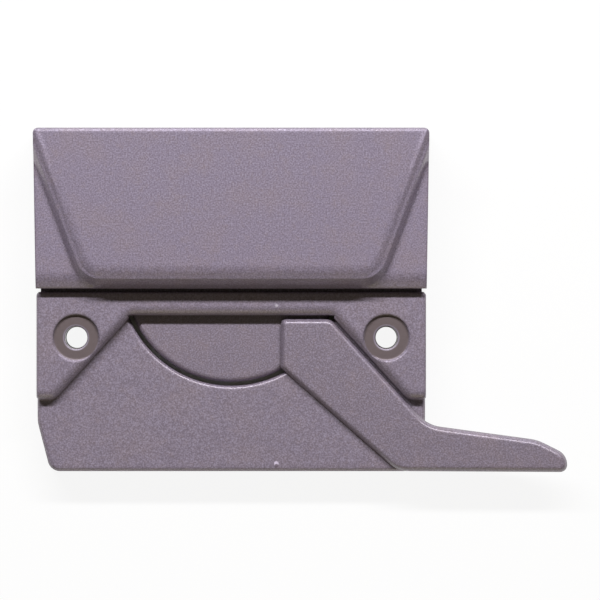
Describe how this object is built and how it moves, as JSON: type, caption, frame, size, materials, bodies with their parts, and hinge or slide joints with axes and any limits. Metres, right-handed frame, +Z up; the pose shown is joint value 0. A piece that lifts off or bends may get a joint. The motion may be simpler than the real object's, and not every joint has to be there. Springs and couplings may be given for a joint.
{
  "type": "sash lock",
  "caption": "Side-lever sash lock: a low cast base with two raised ears and screw holes, a deep hood over a turning cam, and a long lever lying along the front edge.",
  "frame": {"origin": "midway between the two mounting screw holes, on the flat face that meets the sash rail", "axes": "+X along the lock to the tip of the lever, +Y to the rear under the hood, +Z up out of the rail along the mounting screws"},
  "size_m": [0.1038, 0.0669, 0.0159],
  "materials": {
    "coating": "satin powder coat with a fine grain, taupe grey",
    "zinc_plate": "bright zinc plating",
    "steel": "turned steel",
    "spring_steel": "oiled spring steel"
  },
  "bodies": {
    "housing": {"lock_body": "coating", "hood": "coating", "base_plate": "zinc_plate", "pivot_stud": "steel", "thrust_washer": "steel", "detent_spring": "spring_steel", "spring_rivet": "steel", "hood_screw_left": "steel", "hood_screw_right": "steel", "body_screw_left": "steel", "body_screw_right": "steel"},
    "turning_lever": {"lever": "coating", "cam": "zinc_plate", "spring_washer": "spring_steel"}
  },
  "joints": [
    {"name": "lever_turn", "type": "hinge", "parent": "housing", "child": "turning_lever", "pos_m": [0, 0.0122, 0], "axis": [0, 0, 1], "range_deg": [-90, 0]}
  ]
}
